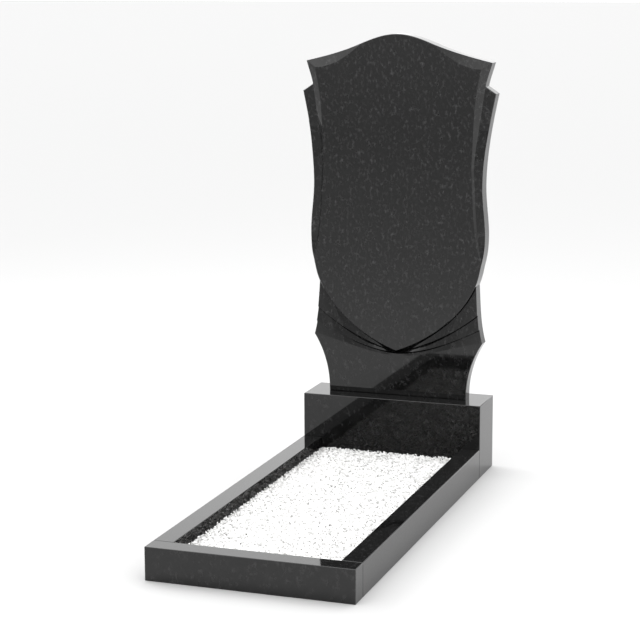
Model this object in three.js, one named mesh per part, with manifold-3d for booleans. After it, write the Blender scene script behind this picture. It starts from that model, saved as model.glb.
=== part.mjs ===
// Polished granite grave monument: a carved stele on a block stand, and a kerbed bed of stone chips.
// Millimetres, +Z up, +Y to the back. The origin is on the ground, under the middle of the whole.

import * as THREE from "three";
import { mergeVertices } from "three/addons/utils/BufferGeometryUtils.js";
import Module from "manifold-3d";

const wasm = await Module();
wasm.setup();

// Driving dimensions

const clearance = 0.3;
const arris = 1.5;
const weld = 1e-4;

const stand = { width: 500, depth: 140, height: 200 };

const kerb = { width: 50, height: 80, railLength: 1000, frontThickness: 50 };

const bed = { belowKerbTop: 26 };

const stele = {
  height: 978.5,
  thickness: 50,
  relief: 12,
  setback: 45,
  footHalfWidth: 194.5,
  footTopOut: 0.5,
  tipOut: 44,
  waistHalfWidth: 220.5,
  mergeIn: 7.5,
  bellyHalfWidth: 244.5,
  neckHalfWidth: 235.5,
  shoulderHalfWidth: 268,
  cornerHalfWidth: 257,
  crownBendHalfWidth: 104,
};

// The shield's own edge, where it stands inside the stele's outline, its bevel, and the facets of its two
// ears. The strips beside it lie stripRise deeper than an arris at first, and reach the slab higher up
const shield = {
  neckHalfWidth: 211.5,
  notchHalfWidth: 239.5,
  sideBevel: 4,
  earWidening: 13,
  earCornerIn: 27.5,
  earCornerDown: 17,
  earTopWidth: 26,
  edgeStep: 0.4,
  stripRise: 4,
  stripSteps: 12,
};

// Folds fan out from under the shield's point; each rises towards its lower edge
const foldFan = { rootBack: 4, rootUp: 6, startBack: 3, pastWaist: 4, pastOutline: 14, sunk: 2, steps: 12 };
const folds = [
  { startDrop: 3.5, endLevel: 0.239, startAngle: 14, endAngle: 40, rise: 6 },
  { startDrop: 5.8, endLevel: 0.196, startAngle: 3, endAngle: 28, rise: 5 },
];

// Levels of the carving, as shares of the stele's height
const level = {
  footTop: 0.014,
  point: 0.128,
  tip: 0.1605,
  waist: 0.3205,
  merge: 0.384,
  stripLow: 0.44,
  belly: 0.455,
  neck: 0.592,
  shieldNeck: 0.642,
  stripFlat: 0.76,
  earFull: 0.84,
  shoulder: 0.843,
  notch: 0.8625,
  corner: 0.9255,
  crownBend: 0.972,
};

const at = (x, share) => new THREE.Vector2(x, share * stele.height);

// Materials

const polishedGranite = () =>
  new THREE.MeshStandardMaterial({ color: 0x2b2c2d, roughness: 0.12, metalness: 0 });
const whiteChips = () =>
  new THREE.MeshStandardMaterial({ color: 0xf1f0ec, roughness: 0.85, metalness: 0 });

// A smooth stretch of outline between two points, with a heading in degrees at each of them

function direction(degrees) {
  const angle = THREE.MathUtils.degToRad(degrees);
  return new THREE.Vector2(Math.cos(angle), Math.sin(angle));
}

function stretch(from, headingFrom, to, headingTo, count) {
  const reach = from.distanceTo(to) / 3;
  const curve = new THREE.CubicBezierCurve(
    from,
    from.clone().addScaledVector(direction(headingFrom), reach),
    to.clone().addScaledVector(direction(headingTo), -reach),
    to,
  );
  return curve.getPoints(count).slice(0, count);
}

// The right half of an outline, closed by its mirror image; both halves share the points on the axis

function mirrored(rightHalf) {
  const onAxis = 1e-6;
  const leftHalf = rightHalf
    .filter((p) => p.x > onAxis)
    .map((p) => new THREE.Vector2(-p.x, p.y))
    .reverse();
  return [...rightHalf, ...leftHalf];
}

// Named points of the carving, on the right half

const points = {
  foot: at(stele.footHalfWidth, 0),
  footTop: at(stele.footHalfWidth + stele.footTopOut, level.footTop),
  tip: at(stele.footHalfWidth + stele.tipOut, level.tip),
  waist: at(stele.waistHalfWidth, level.waist),
  merge: at(stele.bellyHalfWidth - stele.mergeIn, level.merge),
  belly: at(stele.bellyHalfWidth, level.belly),
  neck: at(stele.neckHalfWidth, level.neck),
  shoulder: at(stele.shoulderHalfWidth, level.shoulder),
  notch: at(shield.notchHalfWidth, level.notch),
  corner: at(stele.cornerHalfWidth, level.corner),
  crownBend: at(stele.crownBendHalfWidth, level.crownBend),
  crown: at(0, 1),
  shieldPoint: at(0, level.point),
  shieldNeck: at(shield.neckHalfWidth, level.shieldNeck),
};

const waistToMerge = stretch(points.waist, 66, points.merge, 76, 4);
const horn = stretch(points.notch, 80, points.corner, 76, 4);
const earTop = stretch(points.corner, 167, points.crownBend, 157.5, 12);
const crown = [...stretch(points.crownBend, 157.5, points.crown, 180, 10), points.crown];

const outerSide = [
  ...stretch(points.merge, 76, points.belly, 90, 4),
  ...stretch(points.belly, 90, points.neck, 90, 10),
  ...stretch(points.neck, 90, points.shoulder, 78, 12),
  points.shoulder,
];

const steleOutline = mirrored([
  points.foot,
  ...stretch(points.footTop, 89, points.tip, 57, 9),
  ...stretch(points.tip, 106, points.waist, 94, 6),
  ...waistToMerge,
  ...outerSide,
  ...horn,
  ...earTop,
  ...crown,
]);

// The shield's edge as two outlines with matching points: outer at the foot of its bevel, inner at the top

const lowerEdge = stretch(points.shieldPoint, 19, points.waist, 66, 12);
const sideEdge = [
  ...stretch(points.merge, 104, points.shieldNeck, 94, 10),
  ...stretch(points.shieldNeck, 86, points.notch, 82, 10),
];

// How far a height lies between two levels, eased at both ends

function between(y, low, high) {
  return THREE.MathUtils.smoothstep(y / stele.height, low, high);
}

// Width of the bevel along the shield's sides, widening upwards into the facet of the ear

function sideWidth(point) {
  const low = arris + shield.sideBevel * between(point.y, level.merge, level.stripLow);
  return low + shield.earWidening * between(point.y, level.shieldNeck, level.earFull);
}

// Depth of the strips beside the shield, below its face

function stripDepth(y) {
  const low = arris + shield.stripRise * between(y, level.merge, level.stripLow);
  const rest = stele.relief - arris - shield.stripRise;
  return low + rest * between(y, level.shieldNeck, level.stripFlat);
}

// A stretch moved inwards by a width that may change along it

function inset(stretchPoints, after, widthAt) {
  return stretchPoints.map((point, i) => {
    const previous = stretchPoints[Math.max(i - 1, 0)];
    const next = stretchPoints[i + 1] ?? after;
    const along = next.clone().sub(previous).normalize();
    const inward = new THREE.Vector2(-along.y, along.x);
    return point.clone().addScaledVector(inward, widthAt(point));
  });
}

const plainArris = () => arris;
const innerSide = inset(sideEdge, points.notch, sideWidth);
const innerCrown = inset(crown, new THREE.Vector2(-points.crownBend.x, points.crown.y), plainArris);
innerCrown[innerCrown.length - 1].set(0, points.crown.y - arris);
const innerNotch = new THREE.Vector2(points.notch.x - sideWidth(points.notch), points.notch.y);
const innerCorner = new THREE.Vector2(
  points.corner.x - shield.earCornerIn,
  points.corner.y - shield.earCornerDown,
);
const innerLower = inset(lowerEdge, points.waist, plainArris);
innerLower[0].set(0, points.shieldPoint.y + arris);

const shieldOuter = mirrored([
  ...lowerEdge,
  ...waistToMerge,
  ...sideEdge,
  ...horn,
  ...earTop,
  ...crown,
]);

const shieldInner = mirrored([
  ...innerLower,
  ...inset(waistToMerge, points.merge, plainArris),
  ...innerSide,
  ...stretch(innerNotch, 83, innerCorner, 86, horn.length),
  ...stretch(innerCorner, 180, innerCrown[0], 138, earTop.length),
  ...innerCrown,
]);

function plate(outline, from, to) {
  const geometry = new THREE.ExtrudeGeometry(new THREE.Shape(outline), {
    depth: to - from,
    bevelEnabled: false,
  });
  return geometry.translate(0, 0, from);
}

// How far the foot of the shield's bevel lies below its face, at a point of the outer edge

function bevelDrop(point, width) {
  const full = stele.relief - shield.edgeStep;
  if (point.y < points.merge.y) {
    return arris;
  }
  if (point.y < points.corner.y) {
    return Math.min(width, full, stripDepth(point.y));
  }
  const share = THREE.MathUtils.clamp((width - arris) / (shield.earTopWidth - arris), 0, 1);
  return arris + (full - arris) * share;
}

// The raised shield with its bevelled front edge. Of its three rings of points, the front one moves in to
// the inner outline and the middle one back to the bevel's foot

function shieldLayer() {
  const geometry = new THREE.ExtrudeGeometry(new THREE.Shape(shieldOuter), {
    depth: stele.relief,
    steps: 2,
    bevelEnabled: false,
  });
  const key = (x, y) => `${x.toFixed(2)} ${y.toFixed(2)}`;
  const bevelled = new Map();
  shieldOuter.forEach((point, i) => {
    const top = shieldInner[i];
    bevelled.set(key(point.x, point.y), { top, drop: bevelDrop(point, point.distanceTo(top)) });
  });
  const position = geometry.getAttribute("position");
  for (let i = 0; i < position.count; i += 1) {
    const { top, drop } = bevelled.get(key(position.getX(i), position.getY(i)));
    const ring = Math.round((2 * position.getZ(i)) / stele.relief);
    if (ring === 2) {
      position.setXY(i, top.x, top.y);
    } else if (ring === 1) {
      position.setZ(i, stele.relief - drop);
    }
  }
  return geometry;
}

// The strip of stone beside the shield's right edge: from the merge up it sinks away into the slab

function halfWidthAt(line, y) {
  const i = Math.max(1, line.findIndex((p) => p.y >= y));
  const [low, high] = [line[i - 1], line[i]];
  return THREE.MathUtils.mapLinear(y, low.y, high.y, low.x, high.x);
}

function sideStrip() {
  const inside = [];
  const outside = [];
  for (let i = 0; i <= shield.stripSteps; i += 1) {
    const share = THREE.MathUtils.lerp(level.merge, level.stripFlat, i / shield.stripSteps);
    inside.push(at(halfWidthAt(sideEdge, share * stele.height) - foldFan.sunk, share));
    outside.push(at(halfWidthAt(outerSide, share * stele.height) + foldFan.sunk, share));
  }
  const geometry = plate([...outside, ...inside.reverse()], -foldFan.sunk, stele.relief);
  const position = geometry.getAttribute("position");
  for (let i = 0; i < position.count; i += 1) {
    if (position.getZ(i) > 0) {
      position.setZ(i, stele.relief - stripDepth(position.getY(i)));
    }
  }
  return geometry;
}

// The curve of one fold's lower edge, from behind the shield's point to past the outline

const foldRoot = points.shieldPoint.clone().add(new THREE.Vector2(-foldFan.rootBack, foldFan.rootUp));

function foldEdge(fold) {
  const start = points.shieldPoint.clone().add(new THREE.Vector2(-foldFan.startBack, -fold.startDrop));
  const end = at(stele.waistHalfWidth + foldFan.pastWaist, fold.endLevel);
  return [
    foldRoot,
    ...stretch(start, fold.startAngle, end, fold.endAngle, foldFan.steps),
    end,
    end.clone().addScaledVector(direction(fold.endAngle), foldFan.pastOutline),
  ];
}

// A fold lies between two edges: level with the body along the upper one, proud along the lower one

function foldWedge(upper, lower, rise) {
  const outline = [...lower, ...upper.slice(1).reverse()];
  const geometry = plate(outline, -foldFan.sunk, rise);
  const position = geometry.getAttribute("position");
  const onUpper = (x, y) => upper.slice(1).some((p) => Math.hypot(p.x - x, p.y - y) < 100 * weld);
  for (let i = 0; i < position.count; i += 1) {
    if (position.getZ(i) > 0 && onUpper(position.getX(i), position.getY(i))) {
      position.setZ(i, 0);
    }
  }
  return geometry;
}

// Solids for joining and cutting

function solid(geometry) {
  const bare = geometry.clone();
  bare.deleteAttribute("normal");
  bare.deleteAttribute("uv");
  const merged = mergeVertices(bare, weld);
  return new wasm.Manifold(
    new wasm.Mesh({
      numProp: 3,
      vertProperties: new Float32Array(merged.getAttribute("position").array),
      triVerts: new Uint32Array(merged.getIndex().array),
    }),
  );
}

function fromSolid(manifold) {
  const mesh = manifold.getMesh();
  const geometry = new THREE.BufferGeometry();
  geometry.setAttribute("position", new THREE.BufferAttribute(mesh.vertProperties, 3));
  geometry.setIndex(new THREE.BufferAttribute(mesh.triVerts, 1));
  geometry.computeVertexNormals();
  return geometry;
}

// The stele: slab, raised shield, side strips and folds, one carved stone, drawn facing +Z

function steleGeometry() {
  const bodyFace = stele.thickness - stele.relief;
  const envelope = solid(plate(steleOutline, 0, stele.thickness));
  const slab = solid(plate(steleOutline, 0, bodyFace));
  let stone = slab.add(solid(shieldLayer().translate(0, 0, bodyFace)));
  const underShield = [
    foldRoot,
    ...lowerEdge,
    points.waist,
    points.waist.clone().addScalar(foldFan.pastOutline),
  ];
  const edges = [underShield, ...folds.map(foldEdge)];
  const wedges = folds.map((fold, i) => foldWedge(edges[i], edges[i + 1], fold.rise));
  for (const wedge of [sideStrip(), ...wedges]) {
    const right = solid(wedge.translate(0, 0, bodyFace)).intersect(envelope);
    stone = stone.add(right).add(right.mirror([1, 0, 0]));
  }
  return fromSolid(stone);
}

// A block with every arris taken off, centred in x and y, standing on z = 0

function block(width, depth, height) {
  const across = width / 2;
  const up = height / 2;
  const section = new THREE.Shape([
    new THREE.Vector2(-across, -up + arris),
    new THREE.Vector2(-across + arris, -up),
    new THREE.Vector2(across - arris, -up),
    new THREE.Vector2(across, -up + arris),
    new THREE.Vector2(across, up - arris),
    new THREE.Vector2(across - arris, up),
    new THREE.Vector2(-across + arris, up),
    new THREE.Vector2(-across, up - arris),
  ]);
  const geometry = new THREE.ExtrudeGeometry(section, {
    depth: depth - 2 * arris,
    bevelThickness: arris,
    bevelSize: arris,
    bevelOffset: -arris,
    bevelSegments: 1,
  });
  geometry.translate(0, 0, arris - depth / 2);
  geometry.rotateX(Math.PI / 2);
  return geometry.translate(0, 0, up);
}

// Assembly

const monument = new THREE.Group();
const length = kerb.frontThickness + clearance + kerb.railLength + clearance + stand.depth;
monument.position.y = -length / 2;

function place(name, geometry, material, x, y, z) {
  const mesh = new THREE.Mesh(geometry, material);
  mesh.name = name;
  mesh.position.set(x, y, z);
  monument.add(mesh);
  return mesh;
}

// Places along the monument, measured from the front face of the front kerb
const railStart = kerb.frontThickness + clearance;
const railMiddle = railStart + kerb.railLength / 2;
const standFront = railStart + kerb.railLength + clearance;

place(
  "kerb_front",
  block(stand.width, kerb.frontThickness, kerb.height),
  polishedGranite(),
  0,
  kerb.frontThickness / 2,
  0,
);

const railX = (stand.width - kerb.width) / 2;
for (const [name, side] of [["kerb_left", -1], ["kerb_right", 1]]) {
  const rail = block(kerb.width, kerb.railLength, kerb.height);
  place(name, rail, polishedGranite(), side * railX, railMiddle, 0);
}

const bedWidth = stand.width - 2 * kerb.width - 2 * clearance;
place(
  "gravel_bed",
  block(bedWidth, kerb.railLength, kerb.height - bed.belowKerbTop),
  whiteChips(),
  0,
  railMiddle,
  0,
);

place(
  "stand",
  block(stand.width, stand.depth, stand.height),
  polishedGranite(),
  0,
  standFront + stand.depth / 2,
  0,
);

const carved = place(
  "stele",
  steleGeometry(),
  polishedGranite(),
  0,
  standFront + stele.setback + stele.thickness,
  stand.height + clearance,
);
carved.rotation.x = Math.PI / 2;

export default monument;
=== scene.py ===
"""A polished black granite grave monument: a carved stele on a block stand, with a kerbed bed of
white stone chips in front."""

import math
import random

import bmesh
import bpy
import numpy as np
from mathutils import Matrix, Vector

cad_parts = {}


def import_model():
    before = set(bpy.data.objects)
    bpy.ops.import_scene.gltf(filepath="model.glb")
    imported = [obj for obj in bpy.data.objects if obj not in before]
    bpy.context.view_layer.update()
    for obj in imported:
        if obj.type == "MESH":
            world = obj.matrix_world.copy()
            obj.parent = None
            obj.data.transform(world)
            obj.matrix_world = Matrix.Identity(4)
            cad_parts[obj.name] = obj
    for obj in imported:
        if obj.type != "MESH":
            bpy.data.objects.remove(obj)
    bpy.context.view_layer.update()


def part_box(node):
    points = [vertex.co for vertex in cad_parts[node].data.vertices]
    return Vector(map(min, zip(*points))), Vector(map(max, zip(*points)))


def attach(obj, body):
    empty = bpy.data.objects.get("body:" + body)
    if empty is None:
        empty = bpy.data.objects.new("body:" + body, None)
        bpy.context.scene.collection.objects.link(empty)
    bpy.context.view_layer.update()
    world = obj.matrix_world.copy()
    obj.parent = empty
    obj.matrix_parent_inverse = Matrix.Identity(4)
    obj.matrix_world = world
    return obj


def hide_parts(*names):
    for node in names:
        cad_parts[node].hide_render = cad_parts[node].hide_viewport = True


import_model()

# Sizes of the carving in millimetres; the outline and the shield are those of the CAD model

MM = 0.001
ARRIS = 1.5

STELE_HEIGHT = 978.5
THICKNESS = 50.0
RELIEF = 12.0
BODY_FACE = THICKNESS - RELIEF

# Half widths of the stele's outline; foot top and tip lie out from the foot, merge in from the belly
FOOT, FOOT_TOP_OUT, TIP_OUT = 194.5, 0.5, 44.0
WAIST, BELLY, MERGE_IN = 220.5, 244.5, 7.5
NECK, SHOULDER, CORNER, CROWN_BEND = 235.5, 268.0, 257.0, 104.0

# The shield's own edge, its bevel and strips, the facets of its two ears, and the step under them
SHIELD_NECK, SHIELD_NOTCH = 211.5, 239.5
SIDE_BEVEL = 4.0
STRIP_RISE = 4.0
EAR_WIDENING = 13.0
EAR_CORNER_IN, EAR_CORNER_DOWN = 27.5, 17.0
EAR_TOP_WIDTH = 26.0
EDGE_STEP = 0.4

# How deep joined solids overlap, the least distance between faces, and what counts as one point
SUNK = 2.0
HAIR = 0.02
WELD = 0.0007

# Points along the stretches of the outlines: FINE for each step
FINE = 4
HORN_STEPS, EAR_STEPS, CROWN_STEPS = 4, 12, 10

# Heights of the named points, as shares of the stele's height
LEVEL = {
    "foot_top": 0.014,
    "point": 0.128,
    "tip": 0.1605,
    "waist": 0.3205,
    "merge": 0.384,
    "strip_low": 0.44,
    "belly": 0.455,
    "neck": 0.592,
    "shield_neck": 0.642,
    "strip_flat": 0.76,
    "ear_full": 0.84,
    "shoulder": 0.843,
    "notch": 0.8625,
    "corner": 0.9255,
    "crown_bend": 0.972,
}


def at(x, share):
    return np.array([x, share * STELE_HEIGHT])


FOOT_POINT = at(FOOT, 0)
FOOT_TOP = at(FOOT + FOOT_TOP_OUT, LEVEL["foot_top"])
TIP_POINT = at(FOOT + TIP_OUT, LEVEL["tip"])
WAIST_POINT = at(WAIST, LEVEL["waist"])
MERGE_POINT = at(BELLY - MERGE_IN, LEVEL["merge"])
BELLY_POINT = at(BELLY, LEVEL["belly"])
NECK_POINT = at(NECK, LEVEL["neck"])
SHOULDER_POINT = at(SHOULDER, LEVEL["shoulder"])
NOTCH_POINT = at(SHIELD_NOTCH, LEVEL["notch"])
CORNER_POINT = at(CORNER, LEVEL["corner"])
CROWN_BEND_POINT = at(CROWN_BEND, LEVEL["crown_bend"])
CROWN_POINT = at(0, 1)
SHIELD_POINT = at(0, LEVEL["point"])
SHIELD_NECK_POINT = at(SHIELD_NECK, LEVEL["shield_neck"])


# Outlines


def heading(degrees):
    angle = math.radians(degrees)
    return np.array([math.cos(angle), math.sin(angle)])


def stretch(start, heading_in, end, heading_out, count):
    """Points of a smooth curve with a heading in degrees at each end, without its end point."""
    reach = np.linalg.norm(end - start) / 3
    a, b = start + heading(heading_in) * reach, end - heading(heading_out) * reach
    u = (np.arange(count * FINE) / (count * FINE))[:, None]
    return start * (1 - u) ** 3 + 3 * a * u * (1 - u) ** 2 + 3 * b * u**2 * (1 - u) + end * u**3


def mirrored(*stretches):
    """The right half of an outline, closed by its mirror image."""
    on_axis = 1e-6
    right = np.vstack([np.atleast_2d(s) for s in stretches])
    left = right[right[:, 0] > on_axis][::-1] * (-1, 1)
    return np.vstack([right, left])


def unit(vectors):
    return vectors / np.linalg.norm(vectors, axis=-1, keepdims=True)


def inwards(vectors):
    return np.stack([-vectors[..., 1], vectors[..., 0]], axis=-1)


def inset(outline, width):
    """A closed outline moved inwards, with its corners mitred."""
    before = inwards(unit(outline - np.roll(outline, 1, axis=0)))
    after = inwards(unit(np.roll(outline, -1, axis=0) - outline))
    middle = unit(before + after)
    return outline + middle * (width / np.sum(middle * before, axis=1, keepdims=True))


def smoothstep(value, low, high):
    t = np.clip((value - low) / (high - low), 0, 1)
    return t * t * (3 - 2 * t)


# Each stretch: its start and heading there, its end and heading there, and its steps
WAIST_TO_MERGE = stretch(WAIST_POINT, 66, MERGE_POINT, 76, 4)
HORN = stretch(NOTCH_POINT, 80, CORNER_POINT, 76, HORN_STEPS)
EAR_TOP = stretch(CORNER_POINT, 167, CROWN_BEND_POINT, 157.5, EAR_STEPS)
CROWN = np.vstack([stretch(CROWN_BEND_POINT, 157.5, CROWN_POINT, 180, CROWN_STEPS), CROWN_POINT])
LOWER_EDGE = stretch(SHIELD_POINT, 19, WAIST_POINT, 66, 12)
SIDE_EDGE = np.vstack(
    [
        stretch(MERGE_POINT, 104, SHIELD_NECK_POINT, 94, 10),
        stretch(SHIELD_NECK_POINT, 86, NOTCH_POINT, 82, 10),
    ]
)
OUTER_SIDE = np.vstack(
    [
        stretch(MERGE_POINT, 76, BELLY_POINT, 90, 4),
        stretch(BELLY_POINT, 90, NECK_POINT, 90, 10),
        stretch(NECK_POINT, 90, SHOULDER_POINT, 78, 12),
        SHOULDER_POINT,
    ]
)

STELE_OUTLINE = mirrored(
    FOOT_POINT,
    stretch(FOOT_TOP, 89, TIP_POINT, 57, 9),
    stretch(TIP_POINT, 106, WAIST_POINT, 94, 6),
    WAIST_TO_MERGE,
    OUTER_SIDE,
    HORN,
    EAR_TOP,
    CROWN,
)
SHIELD_OUTER = mirrored(LOWER_EDGE, WAIST_TO_MERGE, SIDE_EDGE, HORN, EAR_TOP, CROWN)


def inset_open(points, after, width):
    """An open stretch moved inwards by a width that may change along it."""
    along = np.vstack([points[1:], after]) - np.vstack([points[:1], points[:-1]])
    return points + inwards(unit(along)) * np.broadcast_to(width, len(points))[:, None]


def between(up, low, high):
    """How far a height lies between two named levels, eased at both ends."""
    return smoothstep(up / STELE_HEIGHT, LEVEL[low], LEVEL[high])


def side_width(up):
    """Width of the bevel along the shield's sides, widening upwards into the facet of the ear."""
    low = ARRIS + SIDE_BEVEL * between(up, "merge", "strip_low")
    return low + EAR_WIDENING * between(up, "shield_neck", "ear_full")


def strip_depth(up):
    """How far the strips beside the shield lie below its face: less towards the waist."""
    low = ARRIS + STRIP_RISE * between(up, "merge", "strip_low")
    return low + (RELIEF - ARRIS - STRIP_RISE) * between(up, "shield_neck", "strip_flat")


def shield_inner():
    """The top edge of the shield's bevel, point for point beside its outer edge."""
    side = inset_open(SIDE_EDGE, NOTCH_POINT, side_width(SIDE_EDGE[:, 1]))
    notch = NOTCH_POINT - (side_width(NOTCH_POINT[1]), 0)
    corner = CORNER_POINT - (EAR_CORNER_IN, EAR_CORNER_DOWN)
    crown = inset_open(CROWN, CROWN[-2] * (-1, 1), ARRIS)
    crown[-1] = CROWN_POINT - (0, ARRIS)
    lower = inset_open(LOWER_EDGE, WAIST_POINT, ARRIS)
    lower[0] = SHIELD_POINT + (0, ARRIS)
    return mirrored(
        lower,
        inset_open(WAIST_TO_MERGE, MERGE_POINT, ARRIS),
        side,
        stretch(notch, 83, corner, 86, HORN_STEPS),
        stretch(corner, 180, crown[0], 138, EAR_STEPS),
        crown,
    )


def bevel_drop(inner):
    """How far the foot of the shield's bevel lies below its face, for each outer point."""
    width = np.linalg.norm(SHIELD_OUTER - inner, axis=1)
    up = SHIELD_OUTER[:, 1]
    full = RELIEF - EDGE_STEP
    side = np.minimum(np.minimum(width, full), strip_depth(up))
    top = ARRIS + (full - ARRIS) * np.clip((width - ARRIS) / (EAR_TOP_WIDTH - ARRIS), 0, 1)
    return np.select([up < MERGE_POINT[1], up < CORNER_POINT[1]], [ARRIS, side], top)


# Solids, as points (across, up, out of the back) in millimetres, placed on the CAD stele

STELE_LOW, STELE_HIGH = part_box("stele")


def on_stele(across, up, out):
    return Vector((across * MM, STELE_HIGH.y - out * MM, STELE_LOW.z + up * MM))


def ring(bm, outline, out):
    heights = np.broadcast_to(out, len(outline))
    return [bm.verts.new(on_stele(x, y, t)) for (x, y), t in zip(outline, heights)]


def bridge(bm, lower, upper, material=0):
    """Faces between two rings of the same number of points."""
    count = len(lower)
    for i in range(count):
        j = (i + 1) % count
        bm.faces.new((lower[i], lower[j], upper[j], upper[i])).material_index = material


def lofted(rings, materials):
    """A closed solid through several rings of (outline, out), with a material for each band."""
    bm = bmesh.new()
    made = [ring(bm, outline, out) for outline, out in rings]
    for lower, upper, material in zip(made, made[1:], materials):
        bridge(bm, lower, upper, material)
    bm.faces.new(made[0][::-1])
    bm.faces.new(made[-1])
    return bm


def to_object(bm, name, materials):
    bmesh.ops.recalc_face_normals(bm, faces=bm.faces)
    mesh = bpy.data.meshes.new(name)
    bm.to_mesh(mesh)
    bm.free()
    for material in materials:
        mesh.materials.append(material)
    piece = bpy.data.objects.new(name, mesh)
    bpy.context.scene.collection.objects.link(piece)
    return piece


def combine(piece, other, operation):
    """Joins another solid to the piece, takes it off, or keeps what they share; drops the other."""
    modifier = piece.modifiers.new("combine", "BOOLEAN")
    modifier.object = other
    modifier.operation = operation
    modifier.solver = "MANIFOLD"
    bpy.context.view_layer.update()
    evaluated = piece.evaluated_get(bpy.context.evaluated_depsgraph_get())
    mesh = bpy.data.meshes.new_from_object(evaluated)
    piece.modifiers.clear()
    piece.data = mesh
    bpy.data.objects.remove(other)


def weld(piece):
    """Joins points that the cutting left almost in one place, and drops faces without area."""
    bm = bmesh.new()
    bm.from_mesh(piece.data)
    bmesh.ops.remove_doubles(bm, verts=bm.verts, dist=WELD * MM)
    bmesh.ops.dissolve_degenerate(bm, edges=bm.edges, dist=WELD * MM)
    bm.to_mesh(piece.data)
    bm.free()


def crisp(piece, axes="XYZ", degrees=20):
    """Smooth shading that stops at sharp edges and at every flat that faces along a given axis."""
    square_on = 0.9999
    piece.data.set_sharp_from_angle(angle=math.radians(degrees))
    faced = ["XYZ".index(axis) for axis in axes]
    for face in piece.data.polygons:
        face.use_smooth = all(abs(face.normal[k]) < square_on for k in faced)


# Materials


class Nodes:
    """A short way to add and link nodes in one tree."""

    def __init__(self, tree):
        self.tree = tree
        self.tree.nodes.clear()

    def add(self, kind, values=(), **settings):
        node = self.tree.nodes.new(kind)
        for name, value in settings.items():
            setattr(node, name, value)
        for name, value in dict(values).items():
            self.feed(node, name, value)
        return node

    def feed(self, node, name, value):
        socket = node.inputs[name]
        if isinstance(value, bpy.types.NodeSocket):
            self.tree.links.new(value, socket)
        else:
            socket.default_value = value

    def ramp(self, value, stops):
        node = self.add("ShaderNodeValToRGB", {"Fac": value})
        elements = node.color_ramp.elements
        while len(elements) < len(stops):
            elements.new(0.5)
        for element, (position, grey) in zip(elements, stops):
            element.position = position
            element.color = (*grey, 1) if isinstance(grey, tuple) else (grey, grey, grey, 1)
        return node.outputs["Color"]

    def noise(self, vector, scale, detail=2.0, roughness=0.5):
        values = {"Vector": vector, "Scale": scale, "Detail": detail, "Roughness": roughness}
        return self.add("ShaderNodeTexNoise", values).outputs["Fac"]

    def cells(self, vector, scale, randomness=1.0):
        values = {"Vector": vector, "Scale": scale, "Randomness": randomness}
        return self.add("ShaderNodeTexVoronoi", values)

    def mix(self, a, b, factor, blend="MIX"):
        node = self.add("ShaderNodeMix", data_type="RGBA", blend_type=blend)
        self.feed(node, 0, factor)
        self.feed(node, 6, a)
        self.feed(node, 7, b)
        return node.outputs[2]

    def maths(self, operation, a, b):
        node = self.add("ShaderNodeMath", operation=operation)
        self.feed(node, 0, a)
        self.feed(node, 1, b)
        return node.outputs[0]

    def share(self, value, start, length):
        """How far a value lies along a range: 0 at its start, 1 at its end."""
        return self.maths("MULTIPLY", self.maths("ADD", value, -start), 1 / length)


def grey(value, tint=(1, 1, 1)):
    return (value * tint[0], value * tint[1], value * tint[2], 1)


def surface(nodes, **values):
    inputs = {name.replace("_", " "): value for name, value in values.items()}
    shader = nodes.add("ShaderNodeBsdfPrincipled", inputs)
    nodes.add("ShaderNodeOutputMaterial", {"Surface": shader.outputs[0]})


def granite(name, polish, painted_highlight, fleck):
    """Black gabbro: clusters of grey crystals drawn out upwards, bright specks and dark grains."""
    material = bpy.data.materials.new(name)
    material.use_nodes = True
    nodes = Nodes(material.node_tree)
    place = nodes.add("ShaderNodeTexCoord").outputs["Object"]
    drawn = nodes.add("ShaderNodeMapping", {"Vector": place, "Scale": (1, 1, 0.7)}).outputs[0]
    clouds = nodes.ramp(nodes.noise(drawn, 16, 3), [(0.35, 0.005), (0.7, 0.0068)])
    clusters = nodes.ramp(nodes.noise(drawn, 52, 2), [(0.4, 0.2), (0.64, 1.0)])
    crystals = nodes.ramp(nodes.noise(drawn, 120, 3.0, 0.62), [(0.5, 0.0), (0.7, 1.0)])
    height = nodes.add("ShaderNodeSeparateXYZ", {"Vector": place}).outputs["Z"]
    richness = nodes.ramp(height, [(0.3, 0.55 * fleck), (0.55, fleck)])
    shown = nodes.maths("MULTIPLY", nodes.maths("MULTIPLY", crystals, clusters), richness)
    stone = nodes.mix(clouds, grey(0.055, (1, 1, 1.02)), shown)
    specks = nodes.ramp(nodes.cells(place, 230).outputs["Distance"], [(0.0, 1.0), (0.22, 0.0)])
    chosen = nodes.ramp(nodes.noise(place, 60, 2), [(0.58, 0.0), (0.66, 0.8 * fleck)])
    stone = nodes.mix(stone, grey(0.1), nodes.maths("MULTIPLY", specks, chosen))
    grains = nodes.ramp(nodes.noise(place, 190, 2, 0.5), [(0.34, 0.9), (0.41, 0.0)])
    stone = nodes.mix(stone, grey(0.003), grains)
    # Painted highlight: pale grey mixed in by the given share, lightening the arrises as light
    # caught along an edge would
    stone = nodes.mix(stone, grey(0.12), painted_highlight)
    uneven = nodes.ramp(nodes.noise(place, 45, 3), [(0.3, polish * 0.8), (0.7, polish * 1.25)])
    bump = nodes.add("ShaderNodeBump", {"Height": crystals, "Strength": 0.01, "Distance": 0.0002})
    surface(nodes, Base_Color=stone, Roughness=uneven, Normal=bump.outputs[0], IOR=1.5)
    return material


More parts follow.
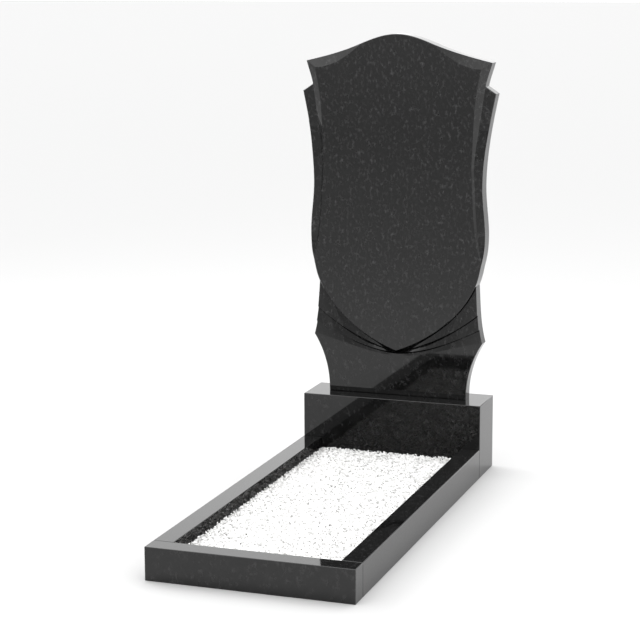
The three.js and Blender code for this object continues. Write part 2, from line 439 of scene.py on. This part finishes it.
def marble_chips():
    """White marble, a little different from chip to chip, with faint grey veins."""
    material = bpy.data.materials.new("marble_chips")
    material.use_nodes = True
    nodes = Nodes(material.node_tree)
    place = nodes.add("ShaderNodeTexCoord").outputs["Object"]
    own = nodes.add("ShaderNodeAttribute", attribute_name="shade").outputs["Fac"]
    whites = [(0.0, (0.5, 0.5, 0.49)), (0.05, (0.92, 0.917, 0.91)), (1.0, (0.985, 0.983, 0.978))]
    plain = nodes.ramp(own, whites)
    veins = nodes.ramp(nodes.noise(place, 160, 4, 0.65), [(0.6, 0.0), (0.75, 0.25)])
    colour = nodes.mix(plain, grey(0.62), veins)
    grit = nodes.noise(place, 900, 3)
    bump = nodes.add("ShaderNodeBump", {"Height": grit, "Strength": 0.35, "Distance": 0.0004})
    rough = nodes.ramp(grit, [(0.3, 0.5), (0.7, 0.75)])
    surface(nodes, Base_Color=colour, Roughness=rough, Normal=bump.outputs[0])
    return material


def pale_ground():
    """Pale sandy ground, lumpy and dry."""
    material = bpy.data.materials.new("pale_ground")
    material.use_nodes = True
    nodes = Nodes(material.node_tree)
    place = nodes.add("ShaderNodeTexCoord").outputs["Object"]
    lumps = nodes.noise(place, 140, 5, 0.6)
    colour = nodes.ramp(lumps, [(0.3, (0.30, 0.29, 0.27)), (0.7, (0.52, 0.50, 0.47))])
    bump = nodes.add("ShaderNodeBump", {"Height": lumps, "Strength": 0.8, "Distance": 0.003})
    surface(nodes, Base_Color=colour, Roughness=0.95, Normal=bump.outputs[0])
    return material


# The arrises' roughness and the share of pale grey that paints a highlight on them
POLISHED, ARRIS_ROUGHNESS, ARRIS_PAINTED_HIGHLIGHT = 0.035, 0.16, 0.2
STELE_FLECK, BLOCK_FLECK = 1.0, 0.9


def stone_pair(name, fleck):
    """The polished stone and its arrises: duller, and a paler grey along them that is a painted
    highlight.
    """
    return [
        granite(name + "_granite", POLISHED, 0.0, fleck),
        granite(name + "_arris", ARRIS_ROUGHNESS, ARRIS_PAINTED_HIGHLIGHT, fleck),
    ]


STONE = stone_pair("stele", STELE_FLECK)
BLOCK_STONE = stone_pair("block", BLOCK_FLECK)
CHIPS = marble_chips()
GROUND = pale_ground()


# The stele: slab, raised shield, side strips and folds, joined into one carved stone

# The lower edges of the two folds and of the hollow under them: how far below the shield's point
# each starts, its heading there, and the level and heading at which it meets the stele's side
FOLD_LINES = ((3.5, 14, 0.239, 40), (5.8, 3, 0.196, 28), (15, 0, 0.16, 12))
PAST_WAIST, PAST_OUTLINE = 4, 14.0

# How high each fold's lower edge stands at the sides, the share of that on the axis, how far out it
# is full, and how far the edge always stands above the fold's foot
FOLD_RISES = (6.0, 5.0)
LEAST_RISE, FULL_RISE_AT, LIP = 0.4, 70, 0.3

# The steep foot of each fold, the groove that it starts in and the hollow under the folds, all less
# towards the stele's sides; the hollow's soft part is full from a little way out
FOLD_FOOT, FOLD_FOOT_SHARE, FOLD_FOOT_SLOPE = 9.0, 0.5, 0.85
GROOVE = 4.0
HOLLOW_FOOT, HOLLOW_SOFT, SOFT_FROM, SOFT_FULL = 5.5, 1.7, 4, 60
FADE_FROM, FADE_TO, GROOVE_FADE, FOOT_FADE = 70.0, 190.0, 0.6, 0.5

FOLD_COLUMNS = 72
FOOT_ROWS, FOLD_ROWS = 3, 9
STRIP_STEPS = 60

# Small overlaps upwards, so that no two walls lie on each other
UNDER_SHIELD, UNDER_FOLD, PAST_FOLD, OVER_FOLD = 1.2, 0.3, 0.5, 1


def resampled(points, count):
    """The same line with points at even distances along it."""
    steps = np.linalg.norm(np.diff(points, axis=0), axis=1)
    along = np.concatenate([[0], np.cumsum(steps)])
    wanted = np.linspace(0, along[-1], count)
    return np.stack([np.interp(wanted, along, points[:, k]) for k in (0, 1)], axis=1)


def fold_line(drop, start_angle, end_level, end_angle):
    """One fold's lower edge on the right half, from the axis to past the outline."""
    start = SHIELD_POINT - (0, drop)
    end = at(WAIST + PAST_WAIST, end_level)
    past = end + heading(end_angle) * PAST_OUTLINE
    points = np.vstack([stretch(start, start_angle, end, end_angle, 12), end, past])
    return resampled(points, FOLD_COLUMNS)


def both_halves(line):
    return np.vstack([line[:0:-1] * (-1, 1), line])


def strip(rows, flat):
    """A closed strip through rows of (line, out), with its other side flat."""
    bm = bmesh.new()
    made = [ring(bm, line, out) for line, out in rows]
    base = [ring(bm, rows[k][0], flat) for k in (0, -1)]
    loop = [base[0], *made, base[1]]
    for near, far in zip(loop, loop[1:] + loop[:1]):
        for i in range(len(near) - 1):
            bm.faces.new((near[i], near[i + 1], far[i + 1], far[i]))
    for i in (0, -1):
        bm.faces.new([row[i] for row in loop])
    return to_object(bm, "strip", STONE)


# Each row across a fold: how much of its steep foot is climbed, and how much of the rest is gone
ROW_STEPS = [
    (min(step / FOOT_ROWS, 1), max(step - FOOT_ROWS, 0) / (FOLD_ROWS - FOOT_ROWS))
    for step in range(FOLD_ROWS + 1)
]


def faded(line, size, by):
    """A size that is full near the shield's point and less towards the stele's sides."""
    return size * (1 - by * smoothstep(np.abs(line[:, 0]), FADE_FROM, FADE_TO))


def fold(upper, lower, rise):
    """A fold that climbs steeply out of its groove, then gently to its lower edge."""
    upper, lower = both_halves(upper), both_halves(lower)
    width = np.linalg.norm(lower - upper, axis=1)
    foot = np.minimum(faded(upper, FOLD_FOOT, FOOT_FADE), FOLD_FOOT_SHARE * width)
    depth = faded(upper, GROOVE, GROOVE_FADE)
    bend = FOLD_FOOT_SLOPE * foot - depth
    grown = LEAST_RISE + (1 - LEAST_RISE) * smoothstep(np.abs(lower[:, 0]), 0, FULL_RISE_AT)
    crest = np.maximum(rise * grown, bend + LIP)
    rows = []
    for climbed, gone in ROW_STEPS:
        share = (foot * climbed + (width - foot) * gone) / width
        out = BODY_FACE - depth + (bend + depth) * climbed + (crest - bend) * gone
        rows.append((upper + (lower - upper) * share[:, None], out))
    return strip(rows, BODY_FACE - 4 * SUNK)


def groove(upper, lower):
    """The ground that is taken out under the folds, so that each starts below the slab's face."""
    rows = []
    for line in (both_halves(upper), both_halves(lower)):
        rows.append((line, BODY_FACE - faded(line, GROOVE, GROOVE_FADE) - HAIR))
    return strip(rows, BODY_FACE + SUNK)


def hollow(upper, lower):
    """The hollow under the last fold: steep at the fold, then soft up to the slab's face."""
    upper, lower = both_halves(upper), both_halves(lower)
    width = np.linalg.norm(lower - upper, axis=1)
    foot = np.minimum(faded(upper, HOLLOW_FOOT, FOOT_FADE), FOLD_FOOT_SHARE * width)
    soft = HOLLOW_SOFT * smoothstep(np.abs(lower[:, 0]), SOFT_FROM, SOFT_FULL)
    rows = []
    for climbed, gone in ROW_STEPS:
        share = (foot * climbed + (width - foot) * gone) / width
        depth = FOLD_FOOT_SLOPE * foot * (1 - climbed) + soft * (1 - gone)
        rows.append((upper + (lower - upper) * share[:, None], BODY_FACE + HAIR - depth))
    return strip(rows, BODY_FACE + SUNK)


def side_strip(side):
    """The wedge that fills the hollow beside the shield where it runs out, on one side."""
    ups = np.linspace(LEVEL["merge"], LEVEL["strip_flat"], STRIP_STEPS) * STELE_HEIGHT
    inside = np.interp(ups, SIDE_EDGE[:, 1], SIDE_EDGE[:, 0]) - SUNK
    outside = np.interp(ups, OUTER_SIDE[:, 1], OUTER_SIDE[:, 0]) + SUNK
    lines = [np.stack([x * side, ups], axis=1) for x in (inside, (inside + outside) / 2, outside)]
    return strip([(line, THICKNESS - strip_depth(ups) - HAIR) for line in lines], BODY_FACE - SUNK)


def within_outline(piece):
    """The piece, cut off where it sticks out of the stele's outline."""
    envelope = lofted([(STELE_OUTLINE, BODY_FACE - 5 * SUNK), (STELE_OUTLINE, THICKNESS)], (0,))
    combine(piece, to_object(envelope, "envelope", STONE), "INTERSECT")
    return piece


def carved_stele():
    """The slab with the folds' grooves cut in, joined to the shield, side strips and folds."""
    slab = inset(STELE_OUTLINE, HAIR)
    edge = inset(STELE_OUTLINE, ARRIS)
    body = lofted(
        [(edge, 0), (slab, ARRIS), (slab, BODY_FACE - ARRIS), (edge, BODY_FACE)],
        materials=(1, 0, 1),
    )
    stele = to_object(body, "stele_carved", STONE)

    under_shield = np.vstack([LOWER_EDGE, WAIST_POINT, WAIST_POINT + PAST_OUTLINE])
    shield_foot = resampled(under_shield, FOLD_COLUMNS) + (0, UNDER_SHIELD)
    first, second, last = (fold_line(*line) for line in FOLD_LINES)
    combine(stele, hollow(second + (0, PAST_FOLD), last), "DIFFERENCE")
    combine(stele, groove(shield_foot + (0, SUNK), second + (0, UNDER_FOLD)), "DIFFERENCE")

    inner = shield_inner()
    bevel_foot = THICKNESS - bevel_drop(inner)
    raised = lofted(
        [(SHIELD_OUTER, BODY_FACE - 3 * SUNK), (SHIELD_OUTER, bevel_foot), (inner, THICKNESS)],
        materials=(0, 0),
    )
    combine(stele, to_object(raised, "shield", STONE), "UNION")
    for side in (-1, 1):
        combine(stele, within_outline(side_strip(side)), "UNION")
    edges = ((shield_foot, first), (first + (0, OVER_FOLD), second))
    for (upper, lower), rise in zip(edges, FOLD_RISES):
        combine(stele, within_outline(fold(upper, lower, rise)), "UNION")
    weld(stele)
    crisp(stele, "Y")
    return stele


# Blocks with their arrises taken off


def block(name, node):
    """A sawn and polished block in the place of a CAD node."""
    low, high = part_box(node)
    bm = bmesh.new()
    stretched = Matrix.Translation((low + high) / 2) @ Matrix.Diagonal((*(high - low), 1))
    bmesh.ops.create_cube(bm, size=1, matrix=stretched)
    cut = bmesh.ops.bevel(
        bm,
        geom=bm.edges[:],
        offset=ARRIS * MM,
        offset_type="OFFSET",
        segments=3,
        profile=0.5,
        affect="EDGES",
    )
    for face in cut["faces"]:
        face.material_index = 1
    piece = to_object(bm, name, BLOCK_STONE)
    crisp(piece, degrees=40)
    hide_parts(node)
    return piece


# The bed: loose chips over sandy ground

CHIP_SHAPES = 32
CHIP_CORNERS = (9, 13)
CORNER_REACH = (0.82, 1.12)
CHIP_SIZE = (0.0048, 0.0066)
CHIP_WIDTH, CHIP_HEIGHT = (0.7, 0.9), (0.5, 0.72)
CHIP_LEAN = 0.35
CHIP_SHIFT, CHIP_LIFT = 0.2, 0.0009
CHIP_GAP = 0.0004
CHIP_SEED, GROUND_SEED = 11, 5

BED_LOW, BED_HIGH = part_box("gravel_bed")
GROUND_TOP = BED_HIGH.z - 0.016
GROUND_UNEVEN = 0.001
GROUND_STEPS = (40, 100)

# Each layer's name, its height from the bed's top and the distance between its chips, in metres
LAYERS = (
    ("chips_lower", -0.0125, 0.0093),
    ("chips_middle", -0.0085, 0.0088),
    ("chips_upper", -0.0048, 0.0092),
)


def chip_shapes(rng):
    """Broken stones: hulls of a few points spread over a flattened ball."""
    shapes = []
    for _ in range(CHIP_SHAPES):
        bm = bmesh.new()
        for _ in range(rng.randint(*CHIP_CORNERS)):
            way = Vector((rng.gauss(0, 1), rng.gauss(0, 1), rng.gauss(0, 1))).normalized()
            bm.verts.new(way * rng.uniform(*CORNER_REACH))
        hull = bmesh.ops.convex_hull(bm, input=bm.verts)
        bmesh.ops.delete(bm, geom=hull["geom_interior"], context="VERTS")
        bmesh.ops.triangulate(bm, faces=bm.faces)
        bm.verts.index_update()
        points = np.array([v.co for v in bm.verts])
        shapes.append((points, np.array([[v.index for v in f.verts] for f in bm.faces])))
        bm.free()
    return shapes


def tumbled(rng):
    """A turn that leaves a flat stone lying roughly flat."""
    lean = Matrix.Rotation(rng.gauss(0, CHIP_LEAN), 3, "X")
    lean = lean @ Matrix.Rotation(rng.gauss(0, CHIP_LEAN), 3, "Y")
    return np.array(lean @ Matrix.Rotation(rng.uniform(0, 2 * math.pi), 3, "Z"))


def layer(name, depth, spacing, shapes, rng):
    """One layer of chips on a loose triangular grid, pressed flat where they meet the kerbs."""
    low = np.array(BED_LOW) + (CHIP_GAP, CHIP_GAP, 0)
    high = np.array(BED_HIGH) - (CHIP_GAP, CHIP_GAP, 0)
    points, faces, shades = [], [], []
    start = 0
    row = 0
    y = low[1] + spacing / 3
    while y < high[1]:
        x = low[0] + spacing * (0.25 + 0.5 * (row % 2))
        while x < high[0]:
            shape, triangles = shapes[rng.randrange(CHIP_SHAPES)]
            size = rng.uniform(*CHIP_SIZE)
            width = size * rng.uniform(*CHIP_WIDTH)
            stone = shape * (size, width, size * rng.uniform(*CHIP_HEIGHT))
            centre = [
                x + rng.gauss(0, CHIP_SHIFT) * spacing,
                y + rng.gauss(0, CHIP_SHIFT) * spacing,
                high[2] + depth + rng.gauss(0, CHIP_LIFT),
            ]
            stone = stone @ tumbled(rng).T + np.array(centre)
            points.append(np.clip(stone, low, high))
            faces.append(triangles + start)
            shades.append(np.full(len(shape), rng.random()))
            start += len(shape)
            x += spacing
        y += spacing * math.sqrt(0.75)
        row += 1
    mesh = bpy.data.meshes.new(name)
    mesh.from_pydata(np.vstack(points).tolist(), [], np.vstack(faces).tolist())
    attribute = mesh.attributes.new("shade", "FLOAT", "POINT")
    attribute.data.foreach_set("value", np.concatenate(shades).astype(np.float32))
    mesh.materials.append(CHIPS)
    piece = bpy.data.objects.new(name, mesh)
    bpy.context.scene.collection.objects.link(piece)
    # Only the lowest layer is mirrored, so that the polished stone mirrors a dark bed
    piece.visible_glossy = name == LAYERS[0][0]
    return piece


def bed_ground():
    """The sandy ground that the chips lie on, slightly uneven."""
    rng = random.Random(GROUND_SEED)
    across, along = GROUND_STEPS
    bm = bmesh.new()
    grid = []
    for j in range(along + 1):
        y = BED_LOW.y + (BED_HIGH.y - BED_LOW.y) * j / along
        line = []
        for i in range(across + 1):
            x = BED_LOW.x + (BED_HIGH.x - BED_LOW.x) * i / across
            z = GROUND_TOP + rng.uniform(-GROUND_UNEVEN, GROUND_UNEVEN)
            line.append(bm.verts.new((x, y, z)))
        grid.append(line)
    for near, far in zip(grid, grid[1:]):
        for i in range(across):
            bm.faces.new((near[i], near[i + 1], far[i + 1], far[i]))
    rim = [e for e in bm.edges if e.is_boundary]
    skirt = bmesh.ops.extrude_edge_only(bm, edges=rim)
    lowered = [g for g in skirt["geom"] if isinstance(g, bmesh.types.BMVert)]
    for vert in lowered:
        vert.co.z = BED_LOW.z
    bmesh.ops.holes_fill(bm, edges=[e for e in bm.edges if e.is_boundary])
    return to_object(bm, "bed_soil", [GROUND])


BLOCKS = (
    ("stand_block", "stand"),
    ("kerb_front_stone", "kerb_front"),
    ("kerb_left_stone", "kerb_left"),
    ("kerb_right_stone", "kerb_right"),
)


def build():
    """Makes every piece, hides the CAD node that it stands in for, and attaches it to its body."""
    stele = carved_stele()
    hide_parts("stele")
    stones = [stele] + [block(name, node) for name, node in BLOCKS]
    rng = random.Random(CHIP_SEED)
    shapes = chip_shapes(rng)
    layers = [layer(name, depth, spacing, shapes, rng) for name, depth, spacing in LAYERS]
    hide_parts("gravel_bed")
    ground = bed_ground()
    for piece in (*stones, *layers, ground):
        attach(piece, "root")


build()


# Stage: floor, light and camera

FLOOR_HALF = 60.0
FLOOR_FADE = 20.0
CAMERA_PLACE = (1.45322, -4.20391, 1.36325)
CAMERA_YAW = 0.341397
CAMERA_PITCH = 0.190956
CAMERA_ROLL = -0.00442476
SENSOR = 36.0
FOCAL_PIXELS = 1847.34
PICTURE_PIXELS = 640


def floor():
    """A plain pale floor, greyer far in front of the monument, where the stone mirrors it."""
    material = bpy.data.materials.new("pale_floor")
    material.use_nodes = True
    nodes = Nodes(material.node_tree)
    place = nodes.add("ShaderNodeTexCoord").outputs["Object"]
    depth = nodes.add("ShaderNodeSeparateXYZ", {"Vector": place}).outputs["Y"]
    greys = [(0.0, 0.49), (0.55, 0.41), (0.79, 0.49), (0.9, 0.57), (0.95, 0.62)]
    colour = nodes.ramp(nodes.share(depth, -FLOOR_FADE, FLOOR_FADE), greys)
    surface(nodes, Base_Color=colour, Roughness=0.9)
    bm = bmesh.new()
    bmesh.ops.create_grid(bm, x_segments=8, y_segments=8, size=FLOOR_HALF)
    to_object(bm, "floor", [material])


def world():
    """Soft light all round: in front brighter high up and at the left, and even behind."""
    made = bpy.data.worlds.new("studio")
    made.use_nodes = True
    nodes = Nodes(made.node_tree)
    way = nodes.add("ShaderNodeTexCoord").outputs["Generated"]
    axes = nodes.add("ShaderNodeSeparateXYZ", {"Vector": way})
    up = nodes.share(axes.outputs["Z"], -1.0, 2.0)
    front = nodes.ramp(up, [(0.5, 0.55), (0.6, 0.7), (0.72, 1.15), (0.82, 1.8)])
    across = nodes.share(axes.outputs["X"], -0.5, 0.8)
    front = nodes.mix(front, nodes.ramp(across, [(0.0, 1.1), (1.0, 0.6)]), 1.0, blend="MULTIPLY")
    behind = nodes.share(axes.outputs["Y"], -0.4, 0.8)
    light = nodes.mix(front, grey(1.6), nodes.ramp(behind, [(0.0, 0.0), (1.0, 1.0)]))
    background = nodes.add("ShaderNodeBackground", {"Color": light, "Strength": 1.0})
    nodes.add("ShaderNodeOutputWorld", {"Surface": background.outputs[0]})
    bpy.context.scene.world = made


def softbox(name, place, target, size, radiance):
    """A soft rectangular light that faces its target."""
    light = bpy.data.lights.new(name, "AREA")
    light.shape = "RECTANGLE"
    light.size, light.size_y = size
    light.energy = radiance * math.pi * size[0] * size[1]
    lamp = bpy.data.objects.new(name, light)
    lamp.location = place
    lamp.rotation_euler = (Vector(target) - Vector(place)).to_track_quat("-Z", "Y").to_euler()
    lamp.visible_camera = False
    bpy.context.scene.collection.objects.link(lamp)


def camera():
    """The camera, at the photo's angle."""
    data = bpy.data.cameras.new("camera")
    data.sensor_width = SENSOR
    data.lens = FOCAL_PIXELS / PICTURE_PIXELS * SENSOR
    data.clip_end = 200
    made = bpy.data.objects.new("camera", data)
    turn = (
        Matrix.Rotation(CAMERA_YAW, 4, "Z")
        @ Matrix.Rotation(math.pi / 2 - CAMERA_PITCH, 4, "X")
        @ Matrix.Rotation(CAMERA_ROLL, 4, "Z")
    )
    made.matrix_world = Matrix.Translation(CAMERA_PLACE) @ turn
    bpy.context.scene.collection.objects.link(made)
    bpy.context.scene.camera = made


floor()
world()
# Each light: its place, its target, its size and its radiance
softbox("left_window", (-2.6, 0.9, 2.3), (0, 0.2, 0.7), (1.5, 1.3), 3.3)
softbox("right_window", (2.5, -0.9, 1.1), (0, 0.5, 0.8), (3.4, 2.4), 0.55)
softbox("overhead", (0.3, 0.6, 3.2), (0, 0, 0), (2.6, 2.6), 1.6)
camera()
bpy.context.scene.view_settings.view_transform = "Standard"
